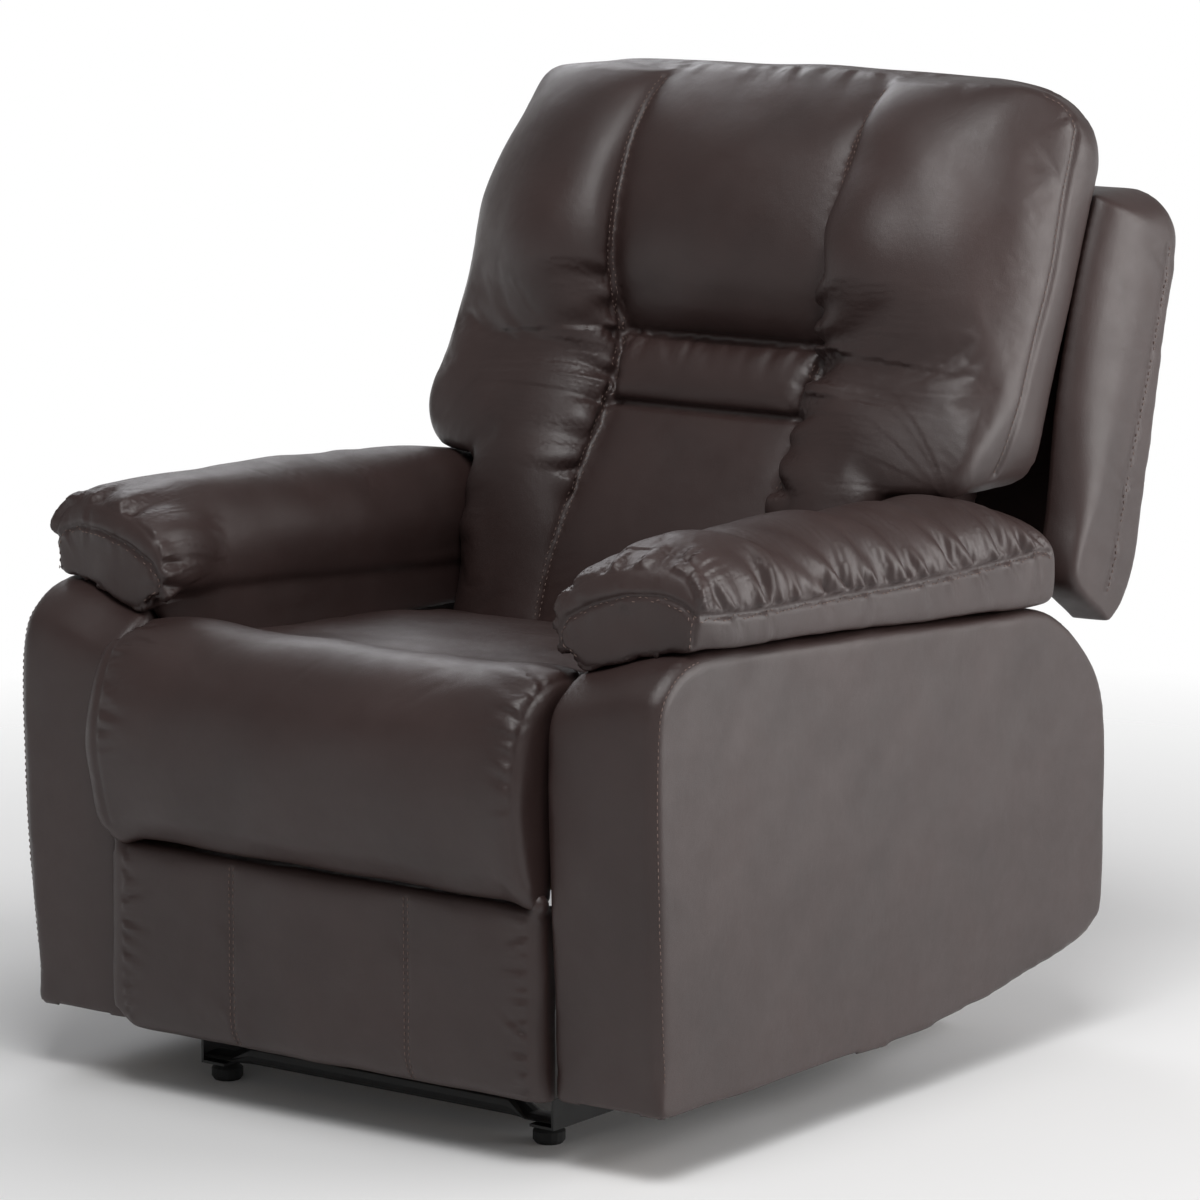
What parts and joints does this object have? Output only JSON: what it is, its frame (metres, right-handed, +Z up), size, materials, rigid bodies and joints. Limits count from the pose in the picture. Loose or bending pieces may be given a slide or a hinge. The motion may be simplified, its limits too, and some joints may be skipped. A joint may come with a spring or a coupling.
{
  "type": "recliner armchair",
  "caption": "Upholstered recliner armchair with padded arms, a pillowed back that reclines, a fold-out footrest and a swinging seat on a steel base.",
  "frame": {"origin": "On the floor, under the centre of the chair's bounding box.", "axes": "+X is to the right of someone who faces the chair (the sitter's left), +Y is to the rear, +Z is up. Node names call -X left and +X right."},
  "size_m": [0.85, 1.0385, 1.042],
  "materials": {
    "leather_brown": "semi-gloss grained faux leather",
    "timber": "plain plywood and softwood",
    "steel_black": "black powder coat",
    "steel_zinc": "zinc plated",
    "spring_steel": "oiled spring wire",
    "rubber_black": "matt",
    "plastic_black": "fine texture"
  },
  "bodies": {
    "base": {"foot_front_left": "rubber_black", "foot_front_right": "rubber_black", "foot_rear_left": "rubber_black", "foot_rear_right": "rubber_black", "base_rail_left": "steel_black", "base_rail_right": "steel_black", "arm_bracket_left": "steel_black", "arm_bracket_right": "steel_black", "base_cross_front": "steel_black", "base_cross_rear": "steel_black", "arm_cover_left": "leather_brown", "arm_cover_right": "leather_brown", "arm_post_front_left": "timber", "arm_post_front_right": "timber", "arm_post_rear_left": "timber", "arm_post_rear_right": "timber", "arm_pad_left": "leather_brown", "arm_pad_right": "leather_brown", "release_cup": "plastic_black"},
    "release_paddle": {"release_paddle": "plastic_black"},
    "swing_front": {"swing_bar_front_left": "steel_zinc", "swing_bar_front_right": "steel_zinc"},
    "swing_rear": {"swing_bar_rear_left": "steel_zinc", "swing_bar_rear_right": "steel_zinc"},
    "seat": {"seat_rail_left": "timber", "seat_rail_right": "timber", "seat_plate_left": "steel_zinc", "seat_plate_right": "steel_zinc", "seat_rail_front": "timber", "seat_rail_rear": "timber", "seat_spring_left": "spring_steel", "seat_spring_middle": "spring_steel", "seat_spring_right": "spring_steel", "seat_cushion": "leather_brown"},
    "back": {"back_stile_left": "timber", "back_stile_right": "timber", "back_bracket_left": "steel_zinc", "back_bracket_right": "steel_zinc", "bolster_left": "leather_brown", "bolster_right": "leather_brown", "back_rail_top": "timber", "back_cover": "leather_brown", "lumbar_pillow": "leather_brown", "lower_cushion": "leather_brown", "head_cushion": "leather_brown"},
    "drive": {"drive_bar_left": "steel_zinc", "drive_bar_right": "steel_zinc", "drive_tube": "steel_black"},
    "cross": {"cross_bar_left": "steel_zinc", "cross_bar_right": "steel_zinc"},
    "lift": {"lift_bar_left": "steel_zinc", "lift_bar_right": "steel_zinc"},
    "short": {"short_bar_left": "steel_zinc", "short_bar_right": "steel_zinc"},
    "control": {"control_bar_left": "steel_zinc", "control_bar_right": "steel_zinc"},
    "footrest": {"footrest_bracket_left": "steel_zinc", "footrest_bracket_right": "steel_zinc", "footrest_board": "timber", "footrest_pad": "leather_brown"}
  },
  "joints": [
    {"name": "swing_front", "type": "hinge", "parent": "base", "child": "swing_front", "pos_m": [0, -0.13, 0.036], "axis": [1, 0, 0], "range_deg": [0, 24.5]},
    {"name": "seat_level", "type": "hinge", "parent": "swing_front", "child": "seat", "pos_m": [0, -0.09881, 0.18272], "axis": [1, 0, 0], "range_deg": [-24.5, 0]},
    {"name": "swing_rear", "type": "hinge", "parent": "base", "child": "swing_rear", "pos_m": [0, 0.12, 0.036], "axis": [1, 0, 0], "range_deg": [0, 24.5]},
    {"name": "back_recline", "type": "hinge", "parent": "seat", "child": "back", "pos_m": [0, 0.23, 0.3], "axis": [-1, 0, 0], "range_deg": [0, 35]},
    {"name": "footrest_extend", "type": "hinge", "parent": "seat", "child": "drive", "pos_m": [0, -0.3696, 0.235], "axis": [-1, 0, 0], "range_deg": [0, 98]},
    {"name": "cross_turn", "type": "hinge", "parent": "drive", "child": "cross", "pos_m": [0, -0.35354, 0.14391], "axis": [-1, 0, 0], "range_deg": [-114.5, 0]},
    {"name": "lift_turn", "type": "hinge", "parent": "drive", "child": "lift", "pos_m": [0, -0.33748, 0.05281], "axis": [-1, 0, 0], "range_deg": [-114.5, 0]},
    {"name": "short_turn", "type": "hinge", "parent": "lift", "child": "short", "pos_m": [0, -0.38372, 0.13292], "axis": [-1, 0, 0], "range_deg": [0, 114.5]},
    {"name": "control_turn", "type": "hinge", "parent": "seat", "child": "control", "pos_m": [0, -0.3089, 0.15], "axis": [-1, 0, 0], "range_deg": [0, 100.4]},
    {"name": "footrest_turn", "type": "hinge", "parent": "lift", "child": "footrest", "pos_m": [0, -0.42997, 0.21302], "axis": [-1, 0, 0], "range_deg": [0, 106.5]},
    {"name": "release_pull", "type": "hinge", "parent": "base", "child": "release_paddle", "pos_m": [-0.414, -0.16, 0.441], "axis": [0, 1, 0], "range_deg": [0, 25], "stiffness_Nm_per_rad": 1.2}
  ],
  "couplings": [
    {"joint": "swing_front", "follows": "back_recline", "ratio": 0.68571},
    {"joint": "seat_level", "follows": "back_recline", "ratio": -0.68571},
    {"joint": "swing_rear", "follows": "back_recline", "ratio": 0.68571},
    {"joint": "cross_turn", "follows": "footrest_extend", "ratio": -1.1633},
    {"joint": "lift_turn", "follows": "footrest_extend", "ratio": -1.1633},
    {"joint": "short_turn", "follows": "footrest_extend", "ratio": 1.1633},
    {"joint": "control_turn", "follows": "footrest_extend", "ratio": 1.0194},
    {"joint": "footrest_turn", "follows": "footrest_extend", "ratio": 1.0816}
  ]
}
